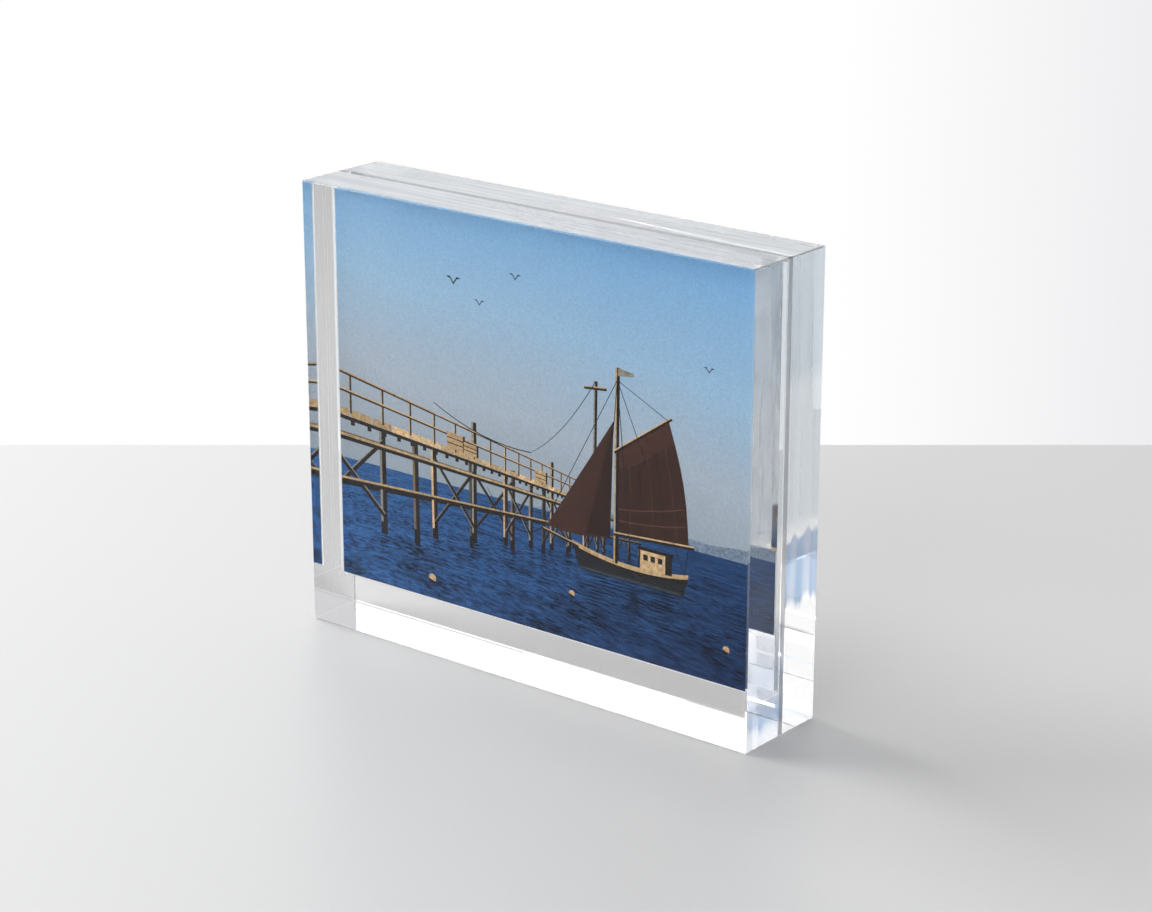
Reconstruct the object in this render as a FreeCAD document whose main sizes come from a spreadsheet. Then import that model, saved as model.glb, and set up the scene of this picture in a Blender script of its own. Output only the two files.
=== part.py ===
import FreeCAD, Part
import os
import Sketcher

# Clear block frame: two thick clear slabs with a flat pocket between them.
# Thin clear strips cemented along the bottom and both sides close the pocket,
# and the photo print drops in from its open top and stands on the bottom strip.
# Origin: centre of the underside. +X to the viewer's right, +Y to the back, +Z up.
# All sizes are in millimetres.

doc = FreeCAD.newDocument("clear_block_frame")

# Driving dimensions
DIMENSIONS = [
    ("print_width", 127.0, "photo print, left to right"),
    ("print_height", 101.6, "photo print, bottom to top"),
    ("print_thickness", 0.25, "photo paper"),
    ("slab_thickness", 12.7, "each of the two slabs"),
    ("pocket_depth", 1.6, "room between the slabs, and the thickness of the strips"),
    ("side_strip_width", 3.0, "strip at each side of the pocket"),
    ("foot_strip_height", 11.0, "strip that the print stands on"),
    ("side_clearance", 0.5, "print edge to side strip"),
    ("front_clearance", 0.1, "print to front slab"),
    ("top_recess", 0.4, "print edge below the top of the block"),
    ("face_bevel", 0.35, "polished bevel round the front and back faces"),
    ("corner_bevel", 0.3, "polished bevel along the corners that run front to back"),
]

sheet = doc.addObject("Spreadsheet::Sheet", "dims")
for row, (alias, value, note) in enumerate(DIMENSIONS, start=1):
    sheet.set(f"A{row}", note)
    sheet.set(f"B{row}", str(value))
    sheet.setAlias(f"B{row}", alias)
doc.recompute()

# Sizes that follow from the driving ones, as expressions
BLOCK_WIDTH = "(dims.print_width + 2 * dims.side_clearance + 2 * dims.side_strip_width)"
POCKET_HEIGHT = "(dims.print_height + dims.top_recess)"
BLOCK_HEIGHT = f"(dims.foot_strip_height + {POCKET_HEIGHT})"
HALF_POCKET = "(dims.pocket_depth / 2)"
SIDE_STRIP_CENTRE = f"({BLOCK_WIDTH} / 2 - dims.side_strip_width / 2)"


def origin_plane(body, role):
    """The plane of the body's own origin that has this role."""
    return next(plane for plane in body.Origin.OriginFeatures if plane.Role == role)


def standing_rectangle(body, width, height):
    """A sketch that looks along Y: a rectangle centred on X that stands on Z zero."""
    sketch = body.newObject("Sketcher::SketchObject", body.Name + "_outline")
    sketch.AttachmentSupport = [(origin_plane(body, "XZ_Plane"), "")]
    sketch.MapMode = "FlatFace"
    corners = [FreeCAD.Vector(*corner) for corner in ((-1, 0), (1, 0), (1, 1), (-1, 1))]
    for start, end in zip(corners, corners[1:] + corners[:1]):
        sketch.addGeometry(Part.LineSegment(start, end), False)
    bottom, right, top, left = range(len(corners))
    for side, next_side in ((bottom, right), (right, top), (top, left), (left, bottom)):
        sketch.addConstraint(Sketcher.Constraint("Coincident", side, 2, next_side, 1))
    for side in (bottom, top):
        sketch.addConstraint(Sketcher.Constraint("Horizontal", side))
    for side in (right, left):
        sketch.addConstraint(Sketcher.Constraint("Vertical", side))
    sketch.addConstraint(Sketcher.Constraint("Symmetric", bottom, 1, bottom, 2, -1, 1))
    wide = sketch.addConstraint(Sketcher.Constraint("DistanceX", bottom, 1, bottom, 2, 2))
    tall = sketch.addConstraint(Sketcher.Constraint("DistanceY", right, 1, right, 2, 1))
    sketch.setExpression(f"Constraints[{wide}]", width)
    sketch.setExpression(f"Constraints[{tall}]", height)
    return sketch


def upright_plate(label, width, height, thickness, grows="forward", place=None):
    """A piece cut from flat sheet that stands on its Z zero and grows from its Y zero
    forward, backward or both ways. place moves it, by one expression for an axis."""
    body = doc.addObject("PartDesign::Body", label)
    body.Label = label
    sketch = standing_rectangle(body, width, height)
    pad = body.newObject("PartDesign::Pad", label + "_sheet")
    pad.Profile = sketch
    pad.setExpression("Length", thickness)
    pad.Midplane = grows == "both ways"
    pad.Reversed = grows == "backward"
    for axis, distance in (place or {}).items():
        body.setExpression(f"Placement.Base.{axis}", distance)
    doc.recompute()
    return body


def bevel(body, size, picks):
    """Bevel the straight edges that picks accepts. It is given an edge's two ends, and
    the box of the piece, all in the piece's own frame."""
    base = body.Tip
    box = base.Shape.BoundBox
    names = [
        f"Edge{number}"
        for number, edge in enumerate(base.Shape.Edges, start=1)
        if picks(*(vertex.Point for vertex in edge.Vertexes), box)
    ]
    chamfer = body.newObject("PartDesign::Chamfer", body.Name + "_bevel")
    chamfer.Base = (base, names)
    chamfer.setExpression("Size", size)
    doc.recompute()


def same(first, second):
    """Two lengths that agree to the modelling tolerance."""
    return abs(first - second) < Part.Precision.confusion()


def runs_front_to_back(start, end, box):
    """An edge along Y."""
    return same(start.x, end.x) and same(start.z, end.z)


def runs_under_the_piece(start, end, box):
    """An edge along Y on the underside."""
    return runs_front_to_back(start, end, box) and same(start.z, box.ZMin)


def runs_round_the_front(start, end, box):
    """An edge of the face that looks to the front."""
    return same(start.y, box.YMin) and same(end.y, box.YMin)


def runs_round_the_back(start, end, box):
    """An edge of the face that looks to the back."""
    return same(start.y, box.YMax) and same(end.y, box.YMax)


def runs_at_top_left(start, end, box):
    """An edge along Y at the top left corner."""
    return runs_front_to_back(start, end, box) and same(start.z, box.ZMax) and same(start.x, box.XMin)


def runs_at_top_right(start, end, box):
    """An edge along Y at the top right corner."""
    return runs_front_to_back(start, end, box) and same(start.z, box.ZMax) and same(start.x, box.XMax)


def build_slab(label, grows, offset, outer_face):
    """A thick slab, with its outer face and its corners bevelled."""
    slab = upright_plate(label, BLOCK_WIDTH, BLOCK_HEIGHT, "dims.slab_thickness", grows, {"y": offset})
    bevel(slab, "dims.corner_bevel", runs_front_to_back)
    bevel(slab, "dims.face_bevel", outer_face)
    return slab


def build_foot_strip():
    """The strip along the bottom of the pocket, as wide as the block."""
    strip = upright_plate(
        "foot_strip", BLOCK_WIDTH, "dims.foot_strip_height", "dims.pocket_depth", "both ways"
    )
    bevel(strip, "dims.corner_bevel", runs_under_the_piece)
    return strip


def build_side_strip(label, side, outer_corner):
    """A strip at one side of the pocket, from the foot strip to the top of the block."""
    place = {"x": f"{side} * {SIDE_STRIP_CENTRE}", "z": "dims.foot_strip_height"}
    strip = upright_plate(
        label, "dims.side_strip_width", POCKET_HEIGHT, "dims.pocket_depth", "both ways", place
    )
    bevel(strip, "dims.corner_bevel", outer_corner)
    return strip


def build_print():
    """The photo print, upright against the front slab and standing on the foot strip."""
    place = {"y": f"dims.front_clearance - {HALF_POCKET}", "z": "dims.foot_strip_height"}
    return upright_plate(
        "photo_print", "dims.print_width", "dims.print_height", "dims.print_thickness", "backward", place
    )


pieces = [
    build_slab("front_slab", "forward", f"-{HALF_POCKET}", runs_round_the_front),
    build_slab("back_slab", "backward", HALF_POCKET, runs_round_the_back),
    build_foot_strip(),
    build_side_strip("left_strip", "-1", runs_at_top_left),
    build_side_strip("right_strip", "1", runs_at_top_right),
    build_print(),
]
doc.recompute()

# Nothing is written unless every object and every piece is sound
for item in doc.Objects:
    if {"Invalid", "Error"} & set(item.State):
        raise RuntimeError(f"{item.Label} is {item.State}")
for piece in pieces:
    if piece.Shape.isNull() or not piece.Shape.isValid():
        raise RuntimeError(f"{piece.Label} has no valid shape")

os.makedirs("parts", exist_ok=True)
for piece in pieces:
    piece.Shape.exportStep(f"parts/{piece.Label}.step")
    box = piece.Shape.BoundBox
    print(
        f"{piece.Label}: {len(piece.Shape.Solids)} solid, {piece.Shape.Volume:.1f} mm3, "
        f"x {box.XMin:.2f}..{box.XMax:.2f}, y {box.YMin:.2f}..{box.YMax:.2f}, z {box.ZMin:.2f}..{box.ZMax:.2f}"
    )
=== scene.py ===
import math
import random

import bmesh
import bpy
from bpy.props import FloatProperty, FloatVectorProperty, IntProperty, PointerProperty
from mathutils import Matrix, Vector
from mathutils.geometry import delaunay_2d_cdt


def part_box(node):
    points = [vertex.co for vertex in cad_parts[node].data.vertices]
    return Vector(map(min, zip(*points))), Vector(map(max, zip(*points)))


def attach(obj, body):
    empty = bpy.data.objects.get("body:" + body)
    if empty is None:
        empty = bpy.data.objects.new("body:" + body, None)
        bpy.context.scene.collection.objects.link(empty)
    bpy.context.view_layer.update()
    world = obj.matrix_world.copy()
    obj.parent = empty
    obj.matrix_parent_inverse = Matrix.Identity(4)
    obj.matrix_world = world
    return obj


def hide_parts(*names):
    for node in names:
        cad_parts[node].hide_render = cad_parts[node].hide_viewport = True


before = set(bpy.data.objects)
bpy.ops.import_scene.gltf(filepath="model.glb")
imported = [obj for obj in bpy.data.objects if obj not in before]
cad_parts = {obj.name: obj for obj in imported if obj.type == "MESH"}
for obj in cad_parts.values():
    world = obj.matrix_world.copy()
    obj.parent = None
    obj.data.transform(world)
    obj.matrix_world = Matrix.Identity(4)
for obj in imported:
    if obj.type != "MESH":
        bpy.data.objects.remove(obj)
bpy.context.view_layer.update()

bl_info = {
    "name": "Clear block frame",
    "version": (1, 0, 0),
    "blender": (4, 5, 0),
    "location": "3D View > Sidebar > Block frame",
    "description": "Finishes a cemented acrylic block frame and the seascape print that stands in it",
    "category": "Object",
}

MM = 0.001

# Nearly all the values of a noise texture lie between these two
NOISE_LOW, NOISE_HIGH = 0.3, 0.7

# The clear pieces, which are cemented into one block
CLEAR_PIECES = ("front_slab", "back_slab", "foot_strip", "left_strip", "right_strip")

# Where the cement is: both faces of the strips, and the side strips' feet
HALF_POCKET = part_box("foot_strip")[1].y
FOOT_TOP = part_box("foot_strip")[1].z
STRIP_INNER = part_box("right_strip")[0].x

# The outer faces
HALF_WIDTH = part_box("front_slab")[1].x
BLOCK_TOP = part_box("front_slab")[1].z

# The print's box, and its size in the picture's own millimetres
PRINT_LOW, PRINT_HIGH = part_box("photo_print")
SHEET_WIDTH = (PRINT_HIGH.x - PRINT_LOW.x) / MM
SHEET_HEIGHT = (PRINT_HIGH.z - PRINT_LOW.z) / MM


def linear(colour):
    """An sRGB hex colour, turned to linear red, green and blue."""
    shares = [int(colour[start:start + 2], 16) / 255 for start in (0, 2, 4)]
    return tuple(
        part / 12.92 if part <= 0.04045 else ((part + 0.055) / 1.055) ** 2.4 for part in shares
    )


def tone(name, description, hex_colour):
    """A colour setting."""
    return FloatVectorProperty(
        name=name, description=description, subtype="COLOR", size=3, min=0, max=1,
        default=linear(hex_colour),
    )


def length(name, description, millimetres):
    """A length setting."""
    return FloatProperty(
        name=name, description=description, unit="LENGTH", default=millimetres * MM
    )


def share(name, description, default):
    """A setting from 0 to 1."""
    return FloatProperty(
        name=name, description=description, subtype="FACTOR", min=0, max=1, default=default
    )


def add(tree, kind, *values, **settings):
    """Adds a node with its settings, and fills its inputs in order, or by name from a dict.
    A node given as a value stands for its first output."""
    node = tree.nodes.new("ShaderNode" + kind)
    for name, value in settings.items():
        setattr(node, name, value)
    if values and isinstance(values[0], dict):
        pairs = [(node.inputs[name], value) for name, value in values[0].items()]
    else:
        pairs = zip([socket for socket in node.inputs if socket.enabled], values)
    for socket, value in pairs:
        if isinstance(value, bpy.types.Node):
            value = next(output for output in value.outputs if output.enabled)
        if isinstance(value, bpy.types.NodeSocket):
            tree.links.new(value, socket)
        else:
            socket.default_value = value
    return node


def blank_tree(holder):
    """The emptied node tree of a material or a world."""
    holder.use_nodes = True
    holder.node_tree.nodes.clear()
    return holder.node_tree


def set_stops(ramp, stops):
    """Gives a colour ramp its stops, from position and colour or level."""
    elements = ramp.color_ramp.elements
    while len(elements) < len(stops):
        elements.new(1)
    for element, (position, colour) in zip(elements, stops):
        element.position = position
        element.color = (colour, colour, colour, 1) if isinstance(colour, float) else (*colour, 1)
    return ramp


# Settings

class AcrylicSettings(bpy.types.PropertyGroup):
    """The finish of the clear pieces."""

    ior: FloatProperty(
        name="IOR", description="How strongly the acrylic bends light", default=1.4, min=1, max=2
    )
    gloss: tone("Gloss", "Strength of the reflection seen straight on", "606060")
    # Edge tint: partly the tint of light that runs the length of a slab, and partly painted shade, since
    # its grey blue is painted only into the sides' upper part, where they look dim
    edge_tint_and_painted_light: tone("Edge tint", "Colour of light that has run the length of a slab", "CAD6E0")
    # A blue painted into the right side: a painted reflection of the print's sea, which stands for the
    # light that the edges pipe out of it
    painted_sea_reflection: tone("Blue in the edge", "What the edges pipe out of the print's sea", "5A7FAC")
    dulled: tone("Dulled acrylic", "Colour of the haze that polishing leaves", "E8EEF4")
    # The strips' sawn ends are grey; the same grey is painted into the pocket's mouth as the shade in
    # its opening
    sawn: tone("Sawn acrylic", "Colour of the strips' ends and the pocket's mouth", "9C9DA1")
    # Between shade foot and shade top, the painted grey shade and the haze of the sides fade in
    shade_foot: length("Shade foot", "How far up the edges' grey and haze begin", 47)
    shade_top: length("Shade top", "How far up they are full", 52)
    # Where the stops of the painted blue reflection stand, and how far the polishing lines shift them
    blue_reach: length("Reach of the blue", "How far up the edge the stops of the blue go", 60)
    waviness: length("Waviness", "How far the polishing lines shift those stops", 2.5)
    # The polishing lines make the painted grey shade and the painted blue reflection stronger where they
    # run
    least_tint: share("Least tint", "Tint between the polishing lines, against 1 in them", 0.75)
    least_haze: share("Least haze", "Haze between the polishing lines, against 1 in them", 0.7)
    side_haze: share("Haze of the right side", "Light that its polishing lines scatter", 0.26)
    top_haze: share("Haze of the top", "Light that its polishing lines scatter", 0.38)
    joint_haze: share("Haze of the joints", "Light that the strips' dull ends scatter", 0.66)
    # The pocket's mouth: a grey painted over the top of its back wall as shade, and how far down it goes
    painted_mouth_shade: share("Haze of the pocket's mouth", "Light that its dull back wall scatters", 0.7)
    mouth: length("Mouth", "How far down the pocket its back wall is dull", 1.5)
    bevel_haze: share("Haze of the bevels", "Light that the narrow bevels scatter", 0.75)
    bevel: length("Bevel", "Width of the bevels at the upper corners, as in the CAD", 0.3)
    streak: length("Polishing lines", "From one polishing line to the next", 2.8)
    cling: share("Cling", "Share of the print that touches the front slab", 0.041)
    cling_patch: share("Cling in the patch", "The same in the patch where the print sticks", 0.85)
    patch_foot: length("Patch foot", "Lower edge of that patch over the underside", 24.6)
    patch_top: length("Patch top", "Upper edge of that patch over the underside", 45)
    patch_start: length("Patch start", "From the middle of the block to the patch", 24)
    near: length("Nearness", "How close to a plane a point counts as on it", 0.01)


class PrintSettings(bpy.types.PropertyGroup):
    """The picture on the print."""

    sky_top: tone("Upper sky", "Sky along the top", "7CB1E0")
    sky_middle: tone("Middle sky", "Sky at half height", "9DC2DF")
    sky_low: tone("Low sky", "Haze over the horizon", "AFBDCA")
    sky_foot: tone("Foot of the sky", "Air at the horizon", "9EABB7")
    sea_far: tone("Far sea", "Water at the left and far out", "2B598F")
    sea_near: tone("Near sea", "Water at the right and close by", "15294A")
    timber_lit: tone("Lit timber", "Sides of the timber that face the sun", "CDAE82")
    timber_grey: tone("Weathered timber", "Grey weathered posts", "8F8B7E")
    timber_dark: tone("Dark timber", "Sides of the timber in shade", "231D1C")
    sail: tone("Sail", "Tanned sailcloth", "3B251F")
    hull: tone("Hull", "Tarred hull", "23272C")
    land: tone("Land", "Far hills in the haze", "8293A8")
    paper: tone("Paper", "Unprinted photo paper", "F2F2F0")
    horizon: FloatProperty(
        name="Horizon", description="Height of the horizon on the sheet in mm", default=31
    )
    margin: FloatProperty(
        name="Margin", description="Unprinted edge of the sheet in mm", default=0.3
    )
    seed: IntProperty(name="Seed", description="Draws the unevenness of the timber", default=7)


class StageSettings(bpy.types.PropertyGroup):
    """Table, light and camera."""

    table: tone("Table", "Pale grey table top", "C9C9C9")
    white: tone("White", "White of the room", "FFFFFF")
    dim_middle: tone("Dimming", "Tone of the room at the picture's right edge", "EEEEF0")
    dim_side: tone("Dim side", "Tone of the room at the right", "D2D2D4")
    film: length("Air film", "Air between the polished foot and the table", 0.05)
    table_edge: length("Table edge", "From the camera's foot to the table's far edge", 836.5)
    table_near: length("Table's near edge", "From the camera's foot back to the near edge", 3000)
    table_half: length("Half the table", "From the line of sight to the table's ends", 3000)
    azimuth: FloatProperty(
        name="Azimuth", description="Turn of the view to the right of the front",
        subtype="ANGLE", default=math.radians(38.923),
    )
    tilt: FloatProperty(
        name="Tilt", description="How far the camera looks down", subtype="ANGLE",
        default=math.radians(18.404),
    )
    camera_place: FloatVectorProperty(
        name="Camera", description="Where the camera stands", subtype="TRANSLATION",
        default=(0.42202, -0.51389, 0.27482),
    )
    lens: FloatProperty(name="Lens", description="Focal length in millimetres", default=92.533)
    key: FloatProperty(
        name="Key light", description="Power of the lamp at the left", unit="POWER", default=14
    )
    fill: FloatProperty(
        name="Fill light", description="Power of the lamp in front", unit="POWER", default=7
    )
    back: FloatProperty(
        name="Back light", description="Power of the lamp behind", unit="POWER", default=0.8
    )
    room: share("Room light", "Light from the white room", 0.5)


# The picture. Its points and widths are millimetres from the sheet's lower left corner.

class Picture:
    """Collects the shapes of the picture, the later ones over the earlier ones: the surface
    each is printed as, its colour and its outline."""

    def __init__(self, settings):
        self.settings = settings
        self.shapes = []
        self.draw = random.Random(settings.seed)

    def paint(self, colour, outline, surface="motif"):
        """Adds a shape over those painted so far."""
        self.shapes.append((surface, tuple(colour), [Vector(point) for point in outline]))

    def uneven(self, colour, spread=0.18):
        """The colour a little lighter or darker."""
        factor = 1 + self.draw.uniform(-spread, spread)
        return [channel * factor for channel in colour]

    def block(self, colour, corner, width, height, surface="motif"):
        """An upright rectangle on its lower left corner."""
        x, y = corner
        corners = ((x, y), (x + width, y), (x + width, y + height), (x, y + height))
        self.paint(colour, corners, surface)

    def beam(self, start, end, width, lit, dark, lit_share=0.36):
        """A timber: its dark side, and a lit strip along its left or upper edge."""
        start, end = Vector(start), Vector(end)
        along = (end - start).normalized()
        across = Vector((-along.y, along.x)) * width / 2
        if across.y < across.x:
            across = -across
        inner = across * (1 - 2 * lit_share)
        self.paint(self.uneven(dark), (start - across, end - across, end + across, start + across))
        self.paint(self.uneven(lit), (start + inner, end + inner, end + across, start + across))

    def line(self, start, end, width, colour, sag=0.0):
        """A rope or wire between two points, which hangs by sag in its middle."""
        start, end = Vector(start), Vector(end)
        steps = 8 if sag else 1
        points = []
        for step in range(steps + 1):
            drop = 4 * sag * step * (steps - step) / steps ** 2
            points.append(start.lerp(end, step / steps) - Vector((0, drop)))
        flat = abs(end.x - start.x) > abs(end.y - start.y)
        lift = Vector((0, width / 2)) if flat else Vector((width / 2, 0))
        upper = [point + lift for point in points]
        self.paint(colour, upper + [point - lift for point in reversed(points)])

    def shimmer(self, place, width, depth, shade, pitch=0.9):
        """The broken reflection of what stands in the water at place."""
        place = Vector(place)
        for row in range(int(depth / pitch)):
            fade = 1 - row * pitch / depth
            shift = self.draw.uniform(-0.3, 0.3) * width
            middle = place + Vector((shift, -pitch * (row + 0.5)))
            half = Vector((width * self.draw.uniform(0.45, 0.85) * (0.5 + 0.5 * fade), 0))
            high = Vector((0, pitch * 0.42 * fade))
            self.paint(shade, (middle - half, middle - high, middle + half, middle + high), "sea")


def paint_ground(picture):
    """Paper, sky, sea and the far hills."""
    settings = picture.settings
    margin, horizon = settings.margin, settings.horizon
    wide, full = SHEET_WIDTH - 2 * margin, (1, 1, 1)
    picture.block(settings.paper, (0, 0), SHEET_WIDTH, SHEET_HEIGHT, "paper")
    picture.block(full, (margin, horizon), wide, SHEET_HEIGHT - margin - horizon, "sky")
    picture.block(full, (margin, margin), wide, horizon - margin, "sea")
    # Two ranges of hills: where each starts and ends, its height and its shade
    steps = 16
    for start, end, high, shade in ((62, 140, 4.6, 1.12), (84, 150, 3.4, 0.9)):
        ridge = []
        for step in range(steps + 1):
            part = step / steps
            rise = high * math.sin(math.pi * part) ** 0.6
            bumps = 0.72 + 0.2 * math.sin(9 * part + start) + 0.08 * math.sin(23 * part)
            ridge.append((start + (end - start) * part, horizon + rise * bumps))
        picture.paint([channel * shade for channel in settings.land], ridge)


class Jetty:
    """Where a point of the jetty lies on the sheet. It runs out to sea in even bays."""

    bays = 9
    vanishing = 132                 # the point on the horizon that it runs to
    recession = 0.2                 # how fast the bays shrink
    deck, foot, rail = 13, -21, 24  # heights over the eye, at the first bay

    def __init__(self, horizon):
        self.horizon = horizon

    def size(self, bay):
        """The scale of things at this bay, which is 1 at the first."""
        return 1 / (1 + self.recession * bay)

    def point(self, bay, height, far=False):
        """The place of a point at this bay, at this height over the eye and on this side."""
        size = self.size(bay) * (0.84 if far else 1)
        side = 5 if far else -9
        x = self.vanishing - (self.vanishing - side) * size
        return Vector((x, self.horizon + height * size))


def paint_jetty_frame(picture, jetty, far):
    """Posts, braces and long rails under the deck, on the far or the near side."""
    settings = picture.settings
    dark = settings.timber_dark
    # The far side stands in the deck's shade, and its timbers look slimmer
    shade, slim = (0.38, 0.9) if far else (1, 1.2)
    lit = [channel * shade for channel in settings.timber_lit]
    grey = [channel * shade for channel in settings.timber_grey]
    for bay in range(jetty.bays + 1):
        size = jetty.size(bay)
        foot = jetty.point(bay, jetty.foot, far)
        tall = jetty.rail + 4 if bay % 3 == 0 and not far else jetty.deck
        head = jetty.point(bay, tall + picture.draw.uniform(-0.6, 0.6), far)
        head.x += picture.draw.uniform(-0.5, 0.5) * size
        width = 2.1 * size * slim
        picture.shimmer(foot, 1.5 * width, 9 * size, (0.42, 0.4, 0.38))
        picture.beam(foot, head, width, grey if bay % 2 else lit, dark)
        weed = 3.8 * size
        picture.block(picture.uneven(dark), (foot.x - width / 2, foot.y), width, weed)
    # Crossed braces in every other bay
    for bay in range(jetty.bays):
        if (bay + far) % 2 == 0:
            for low, high in ((-15, 8), (8, -15)):
                width = 1.1 * jetty.size(bay) * slim
                start, end = jetty.point(bay, low, far), jetty.point(bay + 1, high, far)
                picture.beam(start, end, width, grey, dark, 0.22)
    # Two long rails, with a lit upper edge
    for height, width in ((-7, 1.3), (5, 1.5)):
        start, end = jetty.point(-1, height, far), jetty.point(jetty.bays + 0.2, height, far)
        rise = Vector((0, width * jetty.size(-1) * slim))
        picture.paint(picture.uneven(dark), (start, end, end + rise * 0.36, start + rise))
        lit_edge = (start + rise * 0.6, end + rise * 0.22, end + rise * 0.36, start + rise)
        picture.paint(picture.uneven(lit), lit_edge)


def paint_jetty_deck(picture, jetty):
    """Joists, the plank ends over them, and the handrail."""
    settings = picture.settings
    lit, dark = settings.timber_lit, settings.timber_dark
    joists, planks = 4, 3           # in a bay
    for joist in range(jetty.bays * joists):
        size = jetty.size(joist / joists)
        corner = jetty.point(joist / joists, jetty.deck - 3.4)
        picture.block(picture.uneven(dark), corner, 1.5 * size, 2.4 * size)
    for plank in range(jetty.bays * planks):
        first, last = plank / planks - 0.5, (plank + 0.94) / planks - 0.5
        start, end = jetty.point(first, jetty.deck - 1.2), jetty.point(last, jetty.deck - 1.2)
        rise, end_rise = Vector((0, 2.3 * jetty.size(first))), Vector((0, 2.3 * jetty.size(last)))
        picture.paint(picture.uneven(lit, 0.34), (start, end, end + end_rise, start + rise))
    start, end = jetty.point(-1, jetty.deck - 2.2), jetty.point(jetty.bays, jetty.deck - 2.2)
    rise, end_rise = Vector((0, 1.1 * jetty.size(-1))), Vector((0, 1.1 * jetty.size(jetty.bays)))
    picture.paint(dark, (start, end, end + end_rise, start + rise))
    for half_bay in range(2 * jetty.bays):
        bay = half_bay / 2
        foot, head = jetty.point(bay, jetty.deck), jetty.point(bay, jetty.rail)
        picture.beam(foot, head, jetty.size(bay), lit, dark)
    for height in (jetty.rail, jetty.rail - 5):
        for bay in range(-1, jetty.bays):
            start, end = jetty.point(bay, height), jetty.point(bay + 1, height)
            picture.beam(start, end, 0.95 * jetty.size(bay + 0.5), lit, dark, 0.45)


def paint_jetty(picture):
    """A timber jetty that runs from the left edge out to sea, with crates and a lamp post."""
    settings = picture.settings
    lit, dark = settings.timber_lit, settings.timber_dark
    jetty = Jetty(settings.horizon)
    for far in (True, False):
        paint_jetty_frame(picture, jetty, far)
    paint_jetty_deck(picture, jetty)
    # Slatted crates: the bay each stands at, its height, and its width in bays
    for bay, tall, wide in ((2.3, 6, 0.4), (2.72, 4.4, 0.36), (5.2, 6, 0.5)):
        size = jetty.size(bay)
        low, side = jetty.point(bay, jetty.deck + 1), jetty.point(bay + wide, jetty.deck + 1)
        top, slit = Vector((0, tall * size)), Vector((0, 0.35 * size))
        picture.paint(picture.uneven(lit), (low, side, side + top, low + top))
        for slat in (0.3, 0.62):
            left, right = low + top * slat, side + top * slat
            picture.paint(dark, (left, right, right + slit, left + slit))
        picture.block(dark, side, 0.9 * size, tall * size)
    # The lamp post, and the wire that runs along the jetty to it
    post_foot = jetty.point(jetty.bays - 0.3, jetty.deck)
    post_head = post_foot + Vector((0.4, 30))
    picture.beam(post_foot, post_head, 1.1, settings.timber_grey, dark)
    picture.beam(post_head + Vector((-3.4, -2)), post_head + Vector((3.2, -1.4)), 0.8, lit, dark)
    stay = jetty.point(5, jetty.rail + 3)
    picture.line(post_head, stay, 0.24, dark, sag=2.5)
    picture.line(stay, jetty.point(2, jetty.rail + 4), 0.26, dark, sag=2)


def paint_hull(picture, middle, water, half, deck):
    """The hull with its wale, boot top and cabin, and its reflection."""
    settings = picture.settings
    lit, dark, hull = settings.timber_lit, settings.timber_dark, settings.hull
    # From bow to stern, the lines of the upper edge, of the wale and of the water
    steps = 12
    sheer, wale, waterline = [], [], []
    for step in range(steps + 1):
        part = 2 * step / steps - 1
        x = middle + half * part
        lift = 4.2 + 1.9 * part * part - 0.5 * part
        sheer.append(Vector((x, water + lift)))
        wale.append(Vector((x * 0.995 + 0.5, water + lift - 1.1)))
        waterline.append(Vector((middle + half * part * 0.9 + 0.5, water)))
    for row in range(3):
        picture.shimmer((middle - 9 + 9 * row, water + 0.4), 8.5, 15, (0.36, 0.34, 0.34))
    picture.shimmer((middle + 2, water - 1), 5, 18, (0.5, 0.42, 0.38))
    picture.paint(hull, waterline + sheer[::-1])
    picture.paint(picture.uneven(lit), wale + sheer[::-1])
    under = [point - Vector((0, 0.9)) for point in wale]
    picture.paint(picture.uneven(dark), under + wale[::-1])
    boot_top = [channel * 2.6 for channel in hull]
    picture.block(boot_top, (middle - 0.88 * half, water), 1.76 * half, 0.7)
    # The cabin: its side, its end, its roof and its windows
    picture.block(picture.uneven(lit), (middle + 3.2, deck), 7.2, 4.8)
    picture.block(picture.uneven(dark), (middle + 10.4, deck), 2.0, 4.6)
    picture.block(dark, (middle + 2.4, deck + 4.5), 10.4, 0.8)
    for window in range(3):
        picture.block(hull, (middle + 4.1 + 2.1 * window, deck + 2.2), 1.3, 1.4)


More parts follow.
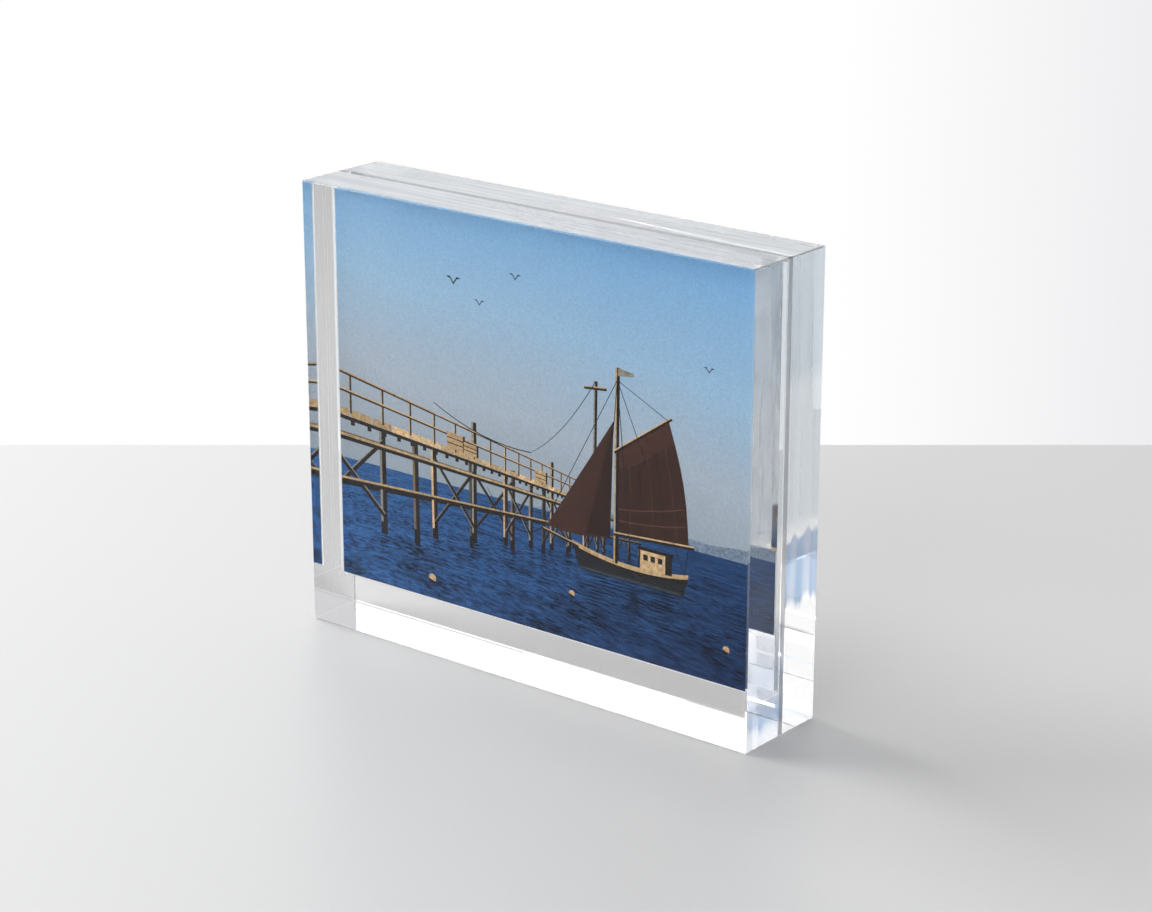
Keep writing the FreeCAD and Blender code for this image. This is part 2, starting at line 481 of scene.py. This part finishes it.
def paint_sails(picture, mast, deck, sprit_end):
    """A gaff sail behind the mast and a jib before it. It gives the gaff sail's corners."""
    sail = picture.settings.sail
    tack, throat = Vector((mast + 0.6, deck + 7)), Vector((mast + 0.6, deck + 27))
    boom_end, peak = Vector((mast + 21, deck + 8.2)), Vector((mast + 15, deck + 37))
    leech, steps = [], 6
    for step in range(steps + 1):
        part = step / steps
        bulge = Vector((1.4 * math.sin(math.pi * part), 0))
        leech.append(boom_end.lerp(peak, part) + bulge)
    picture.paint(sail, [tack, *leech, throat])
    pale, deep = [channel * 1.7 for channel in sail], [channel * 0.6 for channel in sail]
    # The seams between the sail's cloths, a fold under the gaff, and two reef bands
    cloths, seam = 6, Vector((0.32, 0))
    for cloth in range(1, cloths):
        low, high = tack.lerp(boom_end, cloth / cloths), throat.lerp(peak, cloth / cloths)
        middle = low.lerp(high, 0.5) + Vector((0.7, 0))
        outline = (low, low + seam, middle + seam, high + seam, high, middle)
        picture.paint(pale if cloth % 2 else deep, outline)
    fold = (throat, peak, leech[5], throat.lerp(tack, 0.12) + Vector((5, 0)), throat.lerp(tack, 0.2))
    picture.paint([channel * 1.5 for channel in sail], fold)
    for reef in (0.16, 0.3):
        start, end = tack.lerp(throat, reef), boom_end.lerp(peak, reef)
        picture.line(start, end, 0.26, [channel * 2.8 for channel in sail], sag=0.5)
    jib_tack, jib_clew = sprit_end + Vector((1.4, 1)), Vector((mast - 1.6, deck + 5.5))
    jib_head, jib_seam = Vector((mast - 0.8, deck + 34)), jib_tack.lerp(jib_clew, 0.62)
    foot, steps = [], 4
    for step in range(steps + 1):
        part = step / steps
        foot.append(jib_tack.lerp(jib_clew, part) - Vector((0, math.sin(math.pi * part))))
    picture.paint([channel * 1.3 for channel in sail], [*foot, jib_head])
    picture.paint([channel * 0.7 for channel in sail], [jib_seam, jib_clew, jib_head])
    return tack, throat, boom_end, peak


def paint_boat(picture):
    """A moored boat with tanned sails."""
    settings = picture.settings
    lit, dark = settings.timber_lit, settings.timber_dark
    middle, water, half = 91, 19, 17
    deck, mast = water + 4.2, middle - 4
    sprit_end = Vector((middle - half - 9, deck + 3.4))
    paint_hull(picture, middle, water, half, deck)
    tack, throat, boom_end, peak = paint_sails(picture, mast, deck, sprit_end)
    # Bowsprit, mast, boom and gaff
    picture.beam((middle - half + 2, deck + 1.2), sprit_end, 0.8, lit, dark)
    picture.beam((mast, deck - 0.5), (mast + 0.3, deck + 47), 1.3, lit, dark)
    picture.beam(tack - Vector((1.2, 0.3)), boom_end + Vector((1.6, 0)), 1.0, lit, dark)
    picture.beam(throat - Vector((1.2, 0.4)), peak + Vector((0.8, 0.8)), 0.9, lit, dark)
    # Shrouds, stays and sheet, the pennant, and the mooring rope from the jetty
    masthead = Vector((mast + 0.2, deck + 44))
    for end in ((mast - 3.5, deck + 1), (mast + 4.5, deck + 0.4), sprit_end, (boom_end.x - 1, deck + 1)):
        picture.line(masthead, end, 0.22, dark)
    picture.line(masthead, peak, 0.2, dark)
    picture.line(boom_end, (middle + half - 1, deck + 1.4), 0.22, dark)
    pennant = ((0.2, 1), (5, 1.6), (4.6, 2.4), (0.2, 2.9))
    picture.paint(settings.timber_grey, [masthead + Vector(corner) for corner in pennant])
    picture.line((48, 33), sprit_end, 0.28, dark, sag=5)


def paint_small_things(picture):
    """Mooring buoys, and gulls over the water."""
    lit, dark = picture.settings.timber_lit, picture.settings.timber_dark
    # Buoys: place and radius
    sides = 10
    for x, y, size in ((30, 5.5, 1.2), (74, 12, 0.9), (119, 9, 1.0)):
        turns = [math.tau * side / sides for side in range(sides)]
        ring = [(x + size * math.cos(turn), y + size * math.sin(turn)) for turn in turns]
        picture.shimmer((x, y - size * 0.5), 1.6 * size, 3.4 * size, (0.5, 0.5, 0.55))
        picture.paint(lit, ring)
        picture.paint(dark, ring[sides // 2:])
    # Gulls: place and length of a wing
    for x, y, size in ((38, 82, 2.4), (46, 78, 1.7), (57, 86, 1.9), (113, 74, 1.6)):
        body, drop = Vector((x, y)), Vector((0, 0.24 * size))
        for side in (-size, size):
            elbow = body + Vector((side * 0.45, 0.62 * size))
            tip = body + Vector((side, 0.5 * size))
            picture.paint(dark, (body, elbow, tip, elbow - drop, body - drop))


def trim(picture):
    """Covers what the shapes leave on the sheet's white edge."""
    margin, paper = picture.settings.margin, picture.settings.paper
    for corner, width, height in (
        ((0, 0), margin, SHEET_HEIGHT),
        ((SHEET_WIDTH - margin, 0), margin, SHEET_HEIGHT),
        ((0, 0), SHEET_WIDTH, margin),
        ((0, SHEET_HEIGHT - margin), SHEET_WIDTH, margin),
    ):
        picture.block(paper, corner, width, height, "paper")


def cut_mosaic(shapes):
    """Cuts shapes that overlap into faces that only meet. It gives the points, and each face
    with its topmost shape. The first shape is the sheet, and faces outside it are left out."""
    points, rings = [], []
    for _, _, outline in shapes:
        area = sum(a.x * b.y - b.x * a.y for a, b in zip(outline, outline[1:] + outline[:1]))
        rings.append(list(range(len(points), len(points) + len(outline))))
        points.extend(outline if area > 0 else outline[::-1])
    valid_faces, closeness = 4, 1e-4
    cut = delaunay_2d_cdt(points, [], rings, valid_faces, closeness, True)
    places, faces, origins = cut[0], cut[2], cut[5]
    return places, [(face, max(origin)) for face, origin in zip(faces, origins) if 0 in origin]


# Materials

def cemented(tree, place, near):
    """1 on the faces that are cemented to a neighbour, and 0 on the faces in air."""
    across = add(tree, "Math", place["X"], operation="ABSOLUTE")
    deep = add(tree, "Math", place["Y"], operation="ABSOLUTE")
    on_slab = add(tree, "Math", deep, HALF_POCKET, near, operation="COMPARE")
    on_foot = add(tree, "Math", place["Z"], FOOT_TOP, near, operation="COMPARE")
    in_strip = add(tree, "Math", across, STRIP_INNER - near, operation="GREATER_THAN")
    in_foot = add(tree, "Math", place["Z"], FOOT_TOP + near, operation="LESS_THAN")
    by_strips = add(tree, "Math", in_strip, in_foot, operation="MAXIMUM")
    slab_joints = add(tree, "Math", on_slab, by_strips, operation="MULTIPLY")
    foot_joints = add(tree, "Math", on_foot, in_strip, operation="MULTIPLY")
    return add(tree, "Math", slab_joints, foot_joints, operation="MAXIMUM")


def clinging(tree, place, settings):
    """How much of the print touches the front slab's pocket wall. Where it does, the wall
    no longer mirrors the light that meets it at a flat angle, and the block's edges show
    the print."""
    on_wall = add(tree, "Math", place["Y"], -HALF_POCKET, settings.near, operation="COMPARE")
    above = add(tree, "Math", place["Z"], settings.patch_foot, operation="GREATER_THAN")
    below = add(tree, "Math", place["Z"], settings.patch_top, operation="LESS_THAN")
    right = add(tree, "Math", place["X"], settings.patch_start, operation="GREATER_THAN")
    band = add(tree, "Math", above, below, operation="MULTIPLY")
    patch = add(tree, "Math", band, right, operation="MULTIPLY")
    touch = add(tree, "Mix", patch, settings.cling, settings.cling_patch)
    nearly_all = 0.99
    mirrored = add(tree, "Fresnel", settings.ior)
    mirrored = add(tree, "Math", mirrored, nearly_all, operation="GREATER_THAN")
    touch = add(tree, "Math", touch, mirrored, operation="MULTIPLY")
    return add(tree, "Math", on_wall, touch, operation="MULTIPLY")


def polishing_lines(tree, coordinates, on_top, spacing):
    """Soft lines that polishing leaves, from 0 to 1: upright on the sides, lengthwise on the
    top. The real ones are a tenth of a millimetre apart, and these are drawn as coarse as
    they need to show."""
    thinness = 0.04                 # a line's width against its length
    close, drawn_out = 1 / spacing, thinness / spacing
    upright, lengthwise = (close, close, drawn_out, 1), (drawn_out, close, close, 1)
    stretch = add(tree, "Mix", on_top, upright, lengthwise, data_type="RGBA")
    place = add(tree, "VectorMath", coordinates, stretch, operation="MULTIPLY")
    noise = add(tree, "TexNoise", {
        "Vector": place, "Scale": 1.0, "Detail": 1.0, "Roughness": 0.5, "Distortion": 0.8,
    })
    return add(tree, "MapRange", noise, NOISE_LOW, NOISE_HIGH, 0.0, 1.0)


def edge_tint_and_painted_light(tree, place, on_side, on_right, upper, lines, settings):
    """The colour that the side faces give to the light in them. Above, a grey blue: partly the tint of
    the slab's long path and partly painted shade. On the right side a band and a foot of blue: a painted
    reflection of the print's sea, which stands for the light that the edges pipe out of it."""
    strength = add(tree, "MapRange", lines, 0.0, 1.0, settings.least_tint, 1.0)
    # The grey blue painted into the upper part of both sides as shade, together with the slab's tint
    tint_and_shade_share = add(tree, "Math", on_side, upper, operation="MULTIPLY")
    tint_and_shade_share = add(tree, "Math", tint_and_shade_share, strength, operation="MULTIPLY")
    clear, grey = (1, 1, 1, 1), (*settings.edge_tint_and_painted_light, 1)
    tint = add(tree, "Mix", tint_and_shade_share, clear, grey, data_type="RGBA")
    wavy = add(tree, "Math", lines, settings.waviness, place["Z"], operation="MULTIPLY_ADD")
    level = add(tree, "Math", wavy, settings.blue_reach, operation="DIVIDE")
    # Each stop: its height as a share of the blue's reach, and the strength of the painted blue
    # reflection
    rear = set_stops(add(tree, "ValToRGB", level), (
        (0.0, 0.15), (0.2, 0.0), (0.52, 0.0), (0.56, 1.0), (0.8, 1.0), (0.82, 0.0),
    ))
    front = set_stops(add(tree, "ValToRGB", level), (
        (0.0, 0.3), (0.08, 0.5), (0.12, 1.0), (0.19, 0.9), (0.21, 0.6), (0.3, 0.75),
        (0.48, 0.4), (0.54, 0.05),
    ))
    # The painted reflection differs in front of the pocket and behind it, and is on the right side only
    behind = add(tree, "Math", place["Y"], HALF_POCKET, operation="GREATER_THAN")
    painted_reflection_share = add(tree, "Mix", behind, front, rear, data_type="RGBA")
    painted_reflection_share = add(tree, "Math", painted_reflection_share, on_right, operation="MULTIPLY")
    painted_reflection_share = add(tree, "Math", painted_reflection_share, strength, operation="MULTIPLY")
    return add(tree, "Mix", painted_reflection_share, tint, (*settings.painted_sea_reflection, 1), data_type="RGBA")


def edge_haze(tree, place, on_top, on_right, in_joint, upper, lines, settings):
    """How much of the edges' surface polishing has left dull, most of all on the bevels at
    the upper corners and at the joints."""
    strength = add(tree, "MapRange", lines, 0.0, 1.0, settings.least_haze, 1.0)
    joint = add(tree, "Math", in_joint, settings.joint_haze, operation="MULTIPLY")
    side = add(tree, "Math", upper, settings.side_haze, operation="MULTIPLY")
    side = add(tree, "Math", side, joint, operation="MAXIMUM")
    side = add(tree, "Math", side, on_right, operation="MULTIPLY")
    top = add(tree, "Math", on_top, settings.top_haze, operation="MULTIPLY")
    haze = add(tree, "Math", side, top, operation="MAXIMUM")
    haze = add(tree, "Math", haze, strength, operation="MULTIPLY")
    across = add(tree, "Math", place["X"], operation="ABSOLUTE")
    outward = add(tree, "Math", across, place["Z"], operation="ADD")
    bevel_plane = HALF_WIDTH + BLOCK_TOP - settings.bevel
    on_bevel = add(tree, "Math", outward, bevel_plane, settings.near, operation="COMPARE")
    bevel = add(tree, "Math", on_bevel, settings.bevel_haze, operation="MULTIPLY")
    return add(tree, "Math", haze, bevel, operation="MAXIMUM")


def polished_cast_acrylic(settings):
    """Cast acrylic sheet, sawn and polished: clear as glass through its faces, and grey blue with soft
    lines and a little haze in its edges. The grey blue is partly the slab's tint and partly painted
    shade, the right edge has a painted blue reflection of the print's sea, and the pocket's mouth has a
    painted grey shade.
    Cement fills the joints and hides them."""
    material = bpy.data.materials.new("polished_cast_acrylic")
    tree = blank_tree(material)
    coordinates = add(tree, "TexCoord").outputs["Object"]
    place = add(tree, "SeparateXYZ", coordinates).outputs
    near = settings.near
    across = add(tree, "Math", place["X"], operation="ABSOLUTE")
    on_side = add(tree, "Math", across, HALF_WIDTH, near, operation="COMPARE")
    on_right = add(tree, "Math", place["X"], HALF_WIDTH, near, operation="COMPARE")
    on_top = add(tree, "Math", place["Z"], BLOCK_TOP, near, operation="COMPARE")
    deep = add(tree, "Math", place["Y"], operation="ABSOLUTE")
    in_joint = add(tree, "Math", deep, HALF_POCKET, operation="LESS_THAN")
    # upper runs from 0 at the shade foot to 1 at the shade top, and bounds the grey blue painted as
    # shade and the sides' haze
    foot, top = settings.shade_foot, settings.shade_top
    upper = add(tree, "MapRange", place["Z"], foot, top, 0.0, 1.0)
    lines = polishing_lines(tree, coordinates, on_top, settings.streak)
    clear = add(tree, "BsdfPrincipled", {
        "Base Color": edge_tint_and_painted_light(tree, place, on_side, on_right, upper, lines, settings),
        "Roughness": 0.0, "IOR": settings.ior, "Transmission Weight": 1.0,
        "Specular Tint": (*settings.gloss, 1),
    })
    # The top of the pocket's back wall, where the grey is painted as the shade in the pocket's opening
    on_back_wall = add(tree, "Math", place["Y"], HALF_POCKET, near, operation="COMPARE")
    at_top = add(tree, "Math", place["Z"], BLOCK_TOP - settings.mouth, operation="GREATER_THAN")
    shaded_mouth_mask = add(tree, "Math", on_back_wall, at_top, operation="MULTIPLY")
    rough = add(tree, "Math", in_joint, shaded_mouth_mask, operation="MAXIMUM")
    dulled, sawn = (*settings.dulled, 1), (*settings.sawn, 1)
    dull = add(tree, "BsdfPrincipled", {
        "Base Color": add(tree, "Mix", rough, dulled, sawn, data_type="RGBA"),
        "Roughness": 0.6, "Specular IOR Level": 0.0,
    })
    haze = edge_haze(tree, place, on_top, on_right, in_joint, upper, lines, settings)
    # Mixes in the shade painted into the pocket's mouth
    mouth = add(tree, "Math", shaded_mouth_mask, settings.painted_mouth_shade, operation="MULTIPLY")
    haze = add(tree, "Math", haze, mouth, operation="MAXIMUM")
    worked = add(tree, "MixShader", haze, clear, dull)
    joints, touch = cemented(tree, place, near), clinging(tree, place, settings)
    through = add(tree, "Math", joints, touch, operation="MAXIMUM")
    finish = add(tree, "MixShader", through, worked, add(tree, "BsdfTransparent"))
    add(tree, "OutputMaterial", finish)
    return material


def photo_paper(name, colouring, settings):
    """Satin photo paper, printed by inkjet: a soft gloss, and a fine grain in every tone. The
    droplets are a twentieth of a millimetre wide, so their grain is drawn ten times coarser."""
    material = bpy.data.materials.new(name)
    tree = blank_tree(material)
    coordinates = add(tree, "TexCoord").outputs["Object"]
    corner = (PRINT_LOW.x, 0, PRINT_LOW.z)
    offset = add(tree, "VectorMath", coordinates, corner, operation="SUBTRACT")
    sheet = add(tree, "VectorMath", offset, 1 / MM, operation="SCALE")
    ink = add(tree, "Attribute", attribute_name="ink").outputs["Color"]
    grain = add(tree, "TexNoise", {
        "Vector": sheet, "Scale": 1.9, "Detail": 3.0, "Roughness": 0.8,
    })
    darkest, palest = 0.88, 1.12
    light = add(tree, "MapRange", grain, NOISE_LOW, NOISE_HIGH, darkest, palest)
    colour = colouring(tree, sheet, ink, settings)
    finish = add(tree, "BsdfPrincipled", {
        "Base Color": add(tree, "VectorMath", colour, light, operation="SCALE"),
        "Roughness": 0.38, "Specular IOR Level": 0.08,
        "Normal": add(tree, "Bump", {"Height": grain, "Strength": 0.05, "Distance": 0.02 * MM}),
    })
    add(tree, "OutputMaterial", finish)
    return material


def unprinted(tree, sheet, ink, settings):
    """Bare paper: the sheet's back, and its white edge."""
    return ink


def printed_sky(tree, sheet, ink, settings):
    """Clear air: blue above, and grey haze at the horizon, more of it at the left."""
    slope, billow, rise = 0.1, 12.0, 15
    place = add(tree, "SeparateXYZ", sheet).outputs
    height = add(tree, "Math", place["X"], slope, place["Z"], operation="MULTIPLY_ADD")
    clouding = add(tree, "TexNoise", {"Vector": sheet, "Scale": 0.025, "Detail": 2.0})
    height = add(tree, "Math", clouding, billow, height, operation="MULTIPLY_ADD")
    low, high = settings.horizon + rise, SHEET_HEIGHT + rise
    level = add(tree, "MapRange", height, low, high, 0.0, 1.0)
    return set_stops(add(tree, "ValToRGB", level), (
        (0.0, settings.sky_foot), (0.25, settings.sky_low),
        (0.6, settings.sky_middle), (1.0, settings.sky_top),
    ))


def printed_sea(tree, sheet, ink, settings):
    """Choppy water: waves 3 mm long on the sheet at its foot, which shrink to the horizon."""
    place = add(tree, "SeparateXYZ", sheet).outputs
    below = add(tree, "Math", settings.horizon, place["Z"], operation="SUBTRACT")
    # The waves at the horizon are as small as if it were this many millimetres farther up
    beyond, width, depth = 8.0, 11.0, 1300.0
    distance = add(tree, "Math", below, 0.0, operation="MAXIMUM")
    distance = add(tree, "Math", distance, beyond, operation="ADD")
    wide = add(tree, "Math", place["X"], width, operation="MULTIPLY")
    wave_x = add(tree, "Math", wide, distance, operation="DIVIDE")
    wave_y = add(tree, "Math", depth, distance, operation="DIVIDE")
    water = add(tree, "CombineXYZ", wave_x, wave_y)
    chop = add(tree, "TexNoise", {
        "Vector": water, "Scale": 1.0, "Detail": 4.0, "Roughness": 0.65, "Distortion": 0.4,
    })
    swell = add(tree, "TexNoise", {"Vector": water, "Scale": 0.16, "Detail": 2.0})
    chop_share, swell_share = 0.8, 0.4
    swell = add(tree, "Math", swell, swell_share, operation="MULTIPLY")
    height = add(tree, "Math", chop, chop_share, swell, operation="MULTIPLY_ADD")
    trough, crest, darkest, palest = 0.45, 0.76, 0.12, 2.2
    light = add(tree, "MapRange", height, trough, crest, darkest, palest)
    # The water darkens towards the foot of the sheet, and more towards its right
    down, right = 0.35 / settings.horizon, 0.7 / SHEET_WIDTH
    nearness = add(tree, "Math", below, down, operation="MULTIPLY")
    nearness = add(tree, "Math", place["X"], right, nearness, operation="MULTIPLY_ADD")
    far, near = (*settings.sea_far, 1), (*settings.sea_near, 1)
    body = add(tree, "Mix", nearness, far, near, data_type="RGBA")
    waves = add(tree, "VectorMath", body, light, operation="SCALE")
    return add(tree, "VectorMath", waves, ink, operation="MULTIPLY")


def printed_motif(tree, sheet, ink, settings):
    """Timber, sails and land: each shape's ink, mottled as weathered wood and cloth are."""
    mottle = add(tree, "TexNoise", {"Vector": sheet, "Scale": 1.1, "Detail": 4.0, "Roughness": 0.7})
    darkest, palest = 0.6, 1.4
    light = add(tree, "MapRange", mottle, NOISE_LOW, NOISE_HIGH, darkest, palest)
    return add(tree, "VectorMath", ink, light, operation="SCALE")


PAPERS = {
    "paper": ("satin_photo_paper", unprinted),
    "sky": ("inkjet_printed_sky", printed_sky),
    "sea": ("inkjet_printed_sea", printed_sea),
    "motif": ("inkjet_printed_motif", printed_motif),
}


# Pieces

class DressBlock(bpy.types.Operator):
    """Gives the five cemented clear pieces their polished finish"""

    bl_idname = "block_frame.dress_block"
    bl_label = "Clear pieces"

    def execute(self, context):
        finish = polished_cast_acrylic(context.scene.acrylic_settings)
        for name in CLEAR_PIECES:
            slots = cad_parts[name].material_slots
            if not slots:
                raise RuntimeError(f"{name} has no material slot")
            for slot in slots:
                slot.material = finish
        return {"FINISHED"}


def print_face(face, inks, surface, colour):
    """Gives a face of the sheet the paper for its surface, and its ink."""
    face.material_index = list(PAPERS).index(surface)
    for loop in face.loops:
        loop[inks] = (*colour, 1)


def cut_front(picture):
    """The sheet's front, cut along the picture's shapes."""
    form = bmesh.new()
    inks = form.loops.layers.float_color.new("ink")
    places, faces = cut_mosaic(picture.shapes)
    low = PRINT_LOW
    corners = [form.verts.new((low.x + x * MM, low.y, low.z + y * MM)) for x, y in places]
    for ring, top in faces:
        surface, colour, _ = picture.shapes[top]
        face = form.faces.new([corners[index] for index in ring])
        print_face(face, inks, surface, colour)
    unused = [corner for corner in corners if not corner.link_faces]
    bmesh.ops.delete(form, geom=unused, context="VERTS")
    return form


def close_back(form, paper):
    """Gives the sheet its thickness, with bare paper on its rim and its back. The rim is
    followed from corner to corner, so that the faces come in the same order each time."""
    inks = form.loops.layers.float_color["ink"]
    following = {}
    for edge in form.edges:
        if edge.is_boundary:
            start = edge.link_loops[0].vert
            following[start] = edge.other_vert(start)
    rim = [next(iter(following))]
    while len(rim) < len(following):
        rim.append(following[rim[-1]])
    thickness = Vector((0, PRINT_HIGH.y - PRINT_LOW.y, 0))
    back_rim = [form.verts.new(corner.co + thickness) for corner in rim]
    print_face(form.faces.new(back_rim), inks, "paper", paper)
    for place in range(len(rim)):
        wall = (rim[place - 1], rim[place], back_rim[place], back_rim[place - 1])
        print_face(form.faces.new(wall), inks, "paper", paper)


class MakePrint(bpy.types.Operator):
    """Makes the photo print: one thin sheet whose front is cut along the picture's shapes"""

    bl_idname = "block_frame.make_print"
    bl_label = "Photo print"

    def execute(self, context):
        settings = context.scene.print_settings
        picture = Picture(settings)
        for step in (paint_ground, paint_jetty, paint_boat, paint_small_things, trim):
            step(picture)
        mesh = bpy.data.meshes.new("seascape_print")
        for name, colouring in PAPERS.values():
            mesh.materials.append(photo_paper(name, colouring, settings))
        form = cut_front(picture)
        close_back(form, settings.paper)
        bmesh.ops.recalc_face_normals(form, faces=form.faces)
        form.to_mesh(mesh)
        form.free()
        sheet = bpy.data.objects.new("seascape_print", mesh)
        context.scene.collection.objects.link(sheet)
        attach(sheet, "print")
        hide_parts("photo_print")
        return {"FINISHED"}


# Stage

def set_table(scene, settings):
    """A satin table top. Its far edge lies across the line of sight."""
    turn = settings.azimuth
    ahead = Vector((-math.sin(turn), math.cos(turn), 0))
    aside = Vector((math.cos(turn), math.sin(turn), 0)) * settings.table_half
    under = Vector((settings.camera_place[0], settings.camera_place[1], -settings.film))
    near, far = under - ahead * settings.table_near, under + ahead * settings.table_edge
    mesh = bpy.data.meshes.new("table_top")
    mesh.from_pydata([near - aside, near + aside, far + aside, far - aside], [], [(0, 1, 2, 3)])
    material = bpy.data.materials.new("satin_lacquered_board")
    tree = blank_tree(material)
    lacquer = {"Base Color": (*settings.table, 1), "Roughness": 0.4, "Specular IOR Level": 0.8}
    add(tree, "OutputMaterial", add(tree, "BsdfPrincipled", lacquer))
    mesh.materials.append(material)
    table = bpy.data.objects.new("table_top", mesh)
    scene.collection.objects.link(table)


def set_room(scene, settings):
    """A white room, dimmer towards the right. It lights things less than it shows."""
    world = bpy.data.worlds.new("white_room")
    scene.world = world
    tree = blank_tree(world)
    path = add(tree, "LightPath").outputs
    bent = add(tree, "Math", path["Is Glossy Ray"], path["Is Transmission Ray"], operation="MAXIMUM")
    seen = add(tree, "Math", path["Is Camera Ray"], bent, operation="MAXIMUM")
    strength = add(tree, "MapRange", seen, 0.0, 1.0, settings.room, 1.0)
    direction = add(tree, "TexCoord").outputs["Generated"]
    level = add(tree, "VectorMath", direction, (1, 1, 0), operation="MULTIPLY")
    level = add(tree, "VectorMath", level, operation="NORMALIZE")
    to_right = add(tree, "SeparateXYZ", level).outputs["X"]
    place = add(tree, "Math", to_right, 0.5, 0.5, operation="MULTIPLY_ADD")
    # Each stop: its place from due left, 0, to due right, 1, and the tone of the room there
    dimming = set_stops(add(tree, "ValToRGB", place), (
        (0.222, settings.white), (0.268, settings.dim_middle), (0.8, settings.dim_side),
    ))
    add(tree, "OutputWorld", add(tree, "Background", dimming, strength))


def set_lamps(scene, settings):
    """A key light at the left, a fill light in front and a weak one behind, all soft."""
    aim = Vector((0, 0, 0.04))
    # Each lamp's name, power, side and place
    for name, power, size, place in (
        ("key_light", settings.key, 0.8, (-0.85, -0.14, 0.85)),
        ("fill_light", settings.fill, 0.9, (0.1, -1.1, 0.55)),
        ("back_light", settings.back, 1.2, (-0.6, 0.7, 0.45)),
    ):
        lamp = bpy.data.lights.new(name, "AREA")
        lamp.size = size
        lamp.energy = power
        holder = bpy.data.objects.new(name, lamp)
        holder.location = place
        holder.rotation_mode = "QUATERNION"
        holder.rotation_quaternion = (Vector(place) - aim).to_track_quat("Z", "Y")
        scene.collection.objects.link(holder)


def set_camera(scene, settings):
    """The camera at the photograph's viewing angle."""
    lens = bpy.data.cameras.new("camera")
    lens.lens = settings.lens
    lens.clip_start = 0.01
    camera = bpy.data.objects.new("camera", lens)
    camera.location = settings.camera_place
    camera.rotation_euler = (math.pi / 2 - settings.tilt, 0, settings.azimuth)
    scene.collection.objects.link(camera)
    scene.camera = camera


class SetStage(bpy.types.Operator):
    """Sets the table, the room, the lamps and the camera"""

    bl_idname = "block_frame.set_stage"
    bl_label = "Stage"

    def execute(self, context):
        scene = context.scene
        for step in (set_table, set_room, set_lamps, set_camera):
            step(scene, scene.stage_settings)
        scene.view_settings.view_transform = "Standard"
        # Light zigzags between the faces of a clear block, so its path may be long
        longest = 40
        scene.cycles.max_bounces = longest
        scene.cycles.glossy_bounces = longest
        scene.cycles.transmission_bounces = longest
        scene.cycles.transparent_max_bounces = longest
        return {"FINISHED"}


class BlockFramePanel(bpy.types.Panel):
    """Lists what the add-on makes"""

    bl_idname = "VIEW3D_PT_block_frame"
    bl_label = "Block frame"
    bl_space_type = "VIEW_3D"
    bl_region_type = "UI"
    bl_category = "Block frame"

    def draw(self, context):
        for step in STEPS:
            self.layout.operator(step.bl_idname)


STEPS = (DressBlock, MakePrint, SetStage)
SETTINGS = {
    "acrylic_settings": AcrylicSettings,
    "print_settings": PrintSettings,
    "stage_settings": StageSettings,
}


def register():
    for kind in (*SETTINGS.values(), *STEPS, BlockFramePanel):
        bpy.utils.register_class(kind)
    for name, settings in SETTINGS.items():
        setattr(bpy.types.Scene, name, PointerProperty(type=settings))


def unregister():
    for name in SETTINGS:
        delattr(bpy.types.Scene, name)
    for kind in (BlockFramePanel, *reversed(STEPS), *SETTINGS.values()):
        bpy.utils.unregister_class(kind)


def main():
    """Makes everything in order."""
    register()
    bpy.ops.block_frame.dress_block()
    bpy.ops.block_frame.make_print()
    bpy.ops.block_frame.set_stage()


if __name__ == "__main__":
    main()
